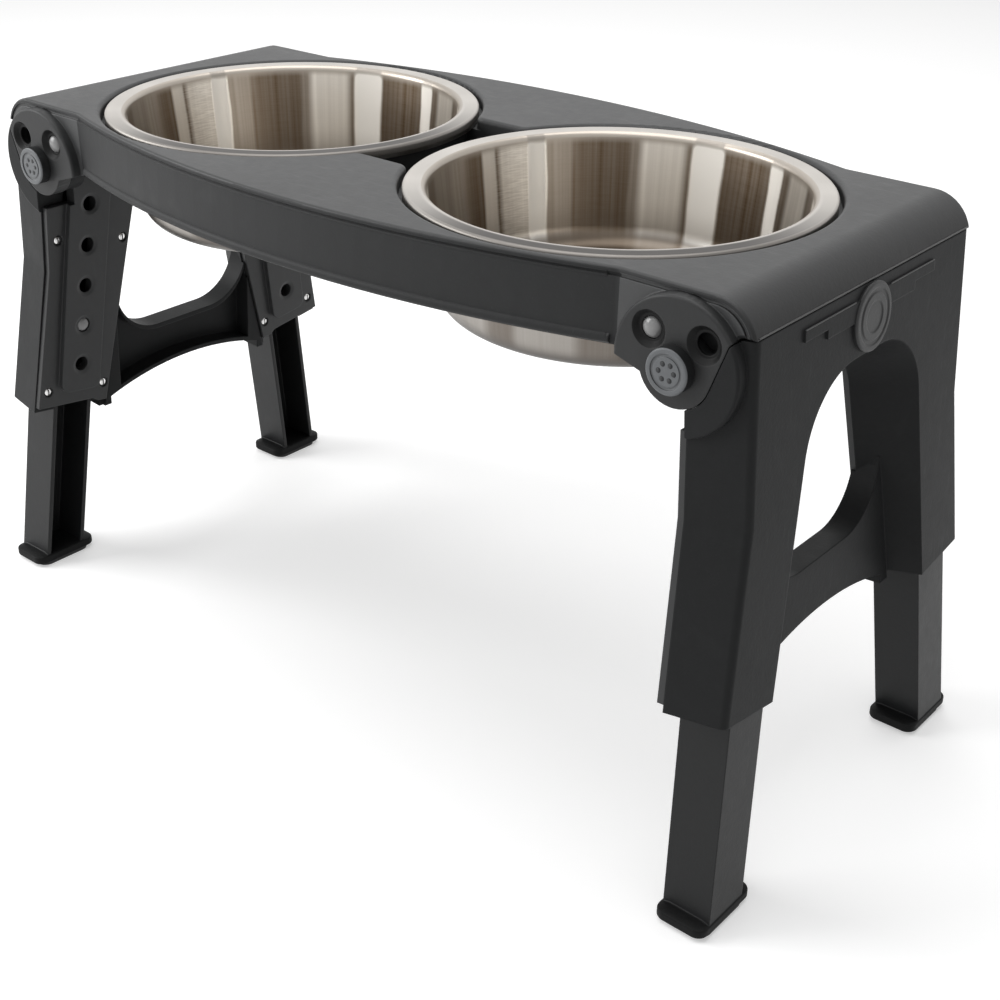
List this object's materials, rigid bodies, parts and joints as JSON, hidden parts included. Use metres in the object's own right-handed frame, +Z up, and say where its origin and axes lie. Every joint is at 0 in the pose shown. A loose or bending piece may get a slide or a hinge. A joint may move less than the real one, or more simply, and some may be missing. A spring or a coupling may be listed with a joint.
{
  "type": "double pet feeder",
  "caption": "Raised feeder with steel bowls in a moulded deck, folding leg frames with hub locks, and telescoping legs with height holes.",
  "frame": {"origin": "bottom centre of the feeder, on the floor", "axes": "+X along the length towards the right end, -Y the front, +Z up"},
  "size_m": [0.5734, 0.267, 0.32],
  "materials": {
    "deck_plastic": "fine moulded grain",
    "frame_plastic": "fine moulded grain",
    "cover_plastic": "fine moulded grain",
    "leg_plastic": "fine moulded grain",
    "bowl_steel": "brushed round the wall",
    "screw_steel": "bright plated",
    "sole_rubber": "matte",
    "pin_plastic": "smooth",
    "cap_plastic": "smooth",
    "axle_steel": "turned",
    "spring_steel": "rolled"
  },
  "bodies": {
    "deck": {"deck": "deck_plastic", "hinge_axle_front_left": "axle_steel", "hinge_axle_rear_left": "axle_steel", "hinge_axle_front_right": "axle_steel", "hinge_axle_rear_right": "axle_steel", "hinge_cap_front_left": "cap_plastic", "hinge_cap_rear_left": "cap_plastic", "hinge_cap_front_right": "cap_plastic", "hinge_cap_rear_right": "cap_plastic"},
    "bowl_left": {"bowl_left": "bowl_steel"},
    "frame_left": {"leg_frame_left": "frame_plastic", "leg_cover_front_left": "cover_plastic", "leg_cover_rear_left": "cover_plastic", "cover_screws_front_left": "screw_steel", "cover_screws_rear_left": "screw_steel", "lock_spring_front_left": "spring_steel", "lock_spring_rear_left": "spring_steel"},
    "bowl_right": {"bowl_right": "bowl_steel"},
    "frame_right": {"leg_frame_right": "frame_plastic", "leg_cover_front_right": "cover_plastic", "leg_cover_rear_right": "cover_plastic", "cover_screws_front_right": "screw_steel", "cover_screws_rear_right": "screw_steel", "lock_spring_front_right": "spring_steel", "lock_spring_rear_right": "spring_steel"},
    "leg_front_left": {"inner_leg_front_left": "leg_plastic", "foot_sole_front_left": "sole_rubber", "leg_spring_front_left": "spring_steel"},
    "leg_rear_left": {"inner_leg_rear_left": "leg_plastic", "foot_sole_rear_left": "sole_rubber", "leg_spring_rear_left": "spring_steel"},
    "leg_front_right": {"inner_leg_front_right": "leg_plastic", "foot_sole_front_right": "sole_rubber", "leg_spring_front_right": "spring_steel"},
    "leg_rear_right": {"inner_leg_rear_right": "leg_plastic", "foot_sole_rear_right": "sole_rubber", "leg_spring_rear_right": "spring_steel"},
    "button_front_left": {"leg_button_front_left": "pin_plastic"},
    "button_rear_left": {"leg_button_rear_left": "pin_plastic"},
    "button_front_right": {"leg_button_front_right": "pin_plastic"},
    "button_rear_right": {"leg_button_rear_right": "pin_plastic"},
    "pin_front_left": {"lock_pin_front_left": "pin_plastic"},
    "pin_rear_left": {"lock_pin_rear_left": "pin_plastic"},
    "pin_front_right": {"lock_pin_front_right": "pin_plastic"},
    "pin_rear_right": {"lock_pin_rear_right": "pin_plastic"}
  },
  "joints": [
    {"name": "fold_left", "type": "hinge", "parent": "deck", "child": "frame_left", "pos_m": [-0.2314, 0, 0.2843], "axis": [0, -1, 0], "range_deg": [0, 90]},
    {"name": "fold_right", "type": "hinge", "parent": "deck", "child": "frame_right", "pos_m": [0.2314, 0, 0.2843], "axis": [0, 1, 0], "range_deg": [0, 90]},
    {"name": "bowl_lift_left", "type": "slide", "parent": "deck", "child": "bowl_left", "axis": [0, 0, 1], "range_m": [0, 0.036]},
    {"name": "bowl_lift_right", "type": "slide", "parent": "deck", "child": "bowl_right", "axis": [0, 0, 1], "range_m": [0, 0.036]},
    {"name": "height_front_left", "type": "slide", "parent": "frame_left", "child": "leg_front_left", "axis": [0.0751, 0.1426, 0.9869], "range_m": [-0.027, 0.081]},
    {"name": "height_button_front_left", "type": "slide", "parent": "leg_front_left", "child": "button_front_left", "axis": [-0.9971, 0, 0.0758], "range_m": [-0.0024, 0.002], "stiffness_N_per_m": 600, "deforming": ["leg_spring_front_left"]},
    {"name": "fold_lock_front_left", "type": "slide", "parent": "frame_left", "child": "pin_front_left", "axis": [0, 1, 0], "range_m": [-0.0032, 0.0018], "stiffness_N_per_m": 600, "deforming": ["lock_spring_front_left"]},
    {"name": "height_rear_left", "type": "slide", "parent": "frame_left", "child": "leg_rear_left", "axis": [0.0751, -0.1426, 0.9869], "range_m": [-0.027, 0.081]},
    {"name": "height_button_rear_left", "type": "slide", "parent": "leg_rear_left", "child": "button_rear_left", "axis": [-0.9971, 0, 0.0758], "range_m": [-0.0024, 0.002], "stiffness_N_per_m": 600, "deforming": ["leg_spring_rear_left"]},
    {"name": "fold_lock_rear_left", "type": "slide", "parent": "frame_left", "child": "pin_rear_left", "axis": [0, -1, 0], "range_m": [-0.0032, 0.0018], "stiffness_N_per_m": 600, "deforming": ["lock_spring_rear_left"]},
    {"name": "height_front_right", "type": "slide", "parent": "frame_right", "child": "leg_front_right", "axis": [-0.0751, 0.1426, 0.9869], "range_m": [-0.027, 0.081]},
    {"name": "height_button_front_right", "type": "slide", "parent": "leg_front_right", "child": "button_front_right", "axis": [0.9971, 0, 0.0758], "range_m": [-0.0024, 0.002], "stiffness_N_per_m": 600, "deforming": ["leg_spring_front_right"]},
    {"name": "fold_lock_front_right", "type": "slide", "parent": "frame_right", "child": "pin_front_right", "axis": [0, 1, 0], "range_m": [-0.0032, 0.0018], "stiffness_N_per_m": 600, "deforming": ["lock_spring_front_right"]},
    {"name": "height_rear_right", "type": "slide", "parent": "frame_right", "child": "leg_rear_right", "axis": [-0.0751, -0.1426, 0.9869], "range_m": [-0.027, 0.081]},
    {"name": "height_button_rear_right", "type": "slide", "parent": "leg_rear_right", "child": "button_rear_right", "axis": [0.9971, 0, 0.0758], "range_m": [-0.0024, 0.002], "stiffness_N_per_m": 600, "deforming": ["leg_spring_rear_right"]},
    {"name": "fold_lock_rear_right", "type": "slide", "parent": "frame_right", "child": "pin_rear_right", "axis": [0, -1, 0], "range_m": [-0.0032, 0.0018], "stiffness_N_per_m": 600, "deforming": ["lock_spring_rear_right"]}
  ],
  "couplings": [
    {"joint": "bowl_lift_left", "follows": "fold_left", "m_per_rad": 0.0229},
    {"joint": "bowl_lift_right", "follows": "fold_right", "m_per_rad": 0.0229}
  ]
}
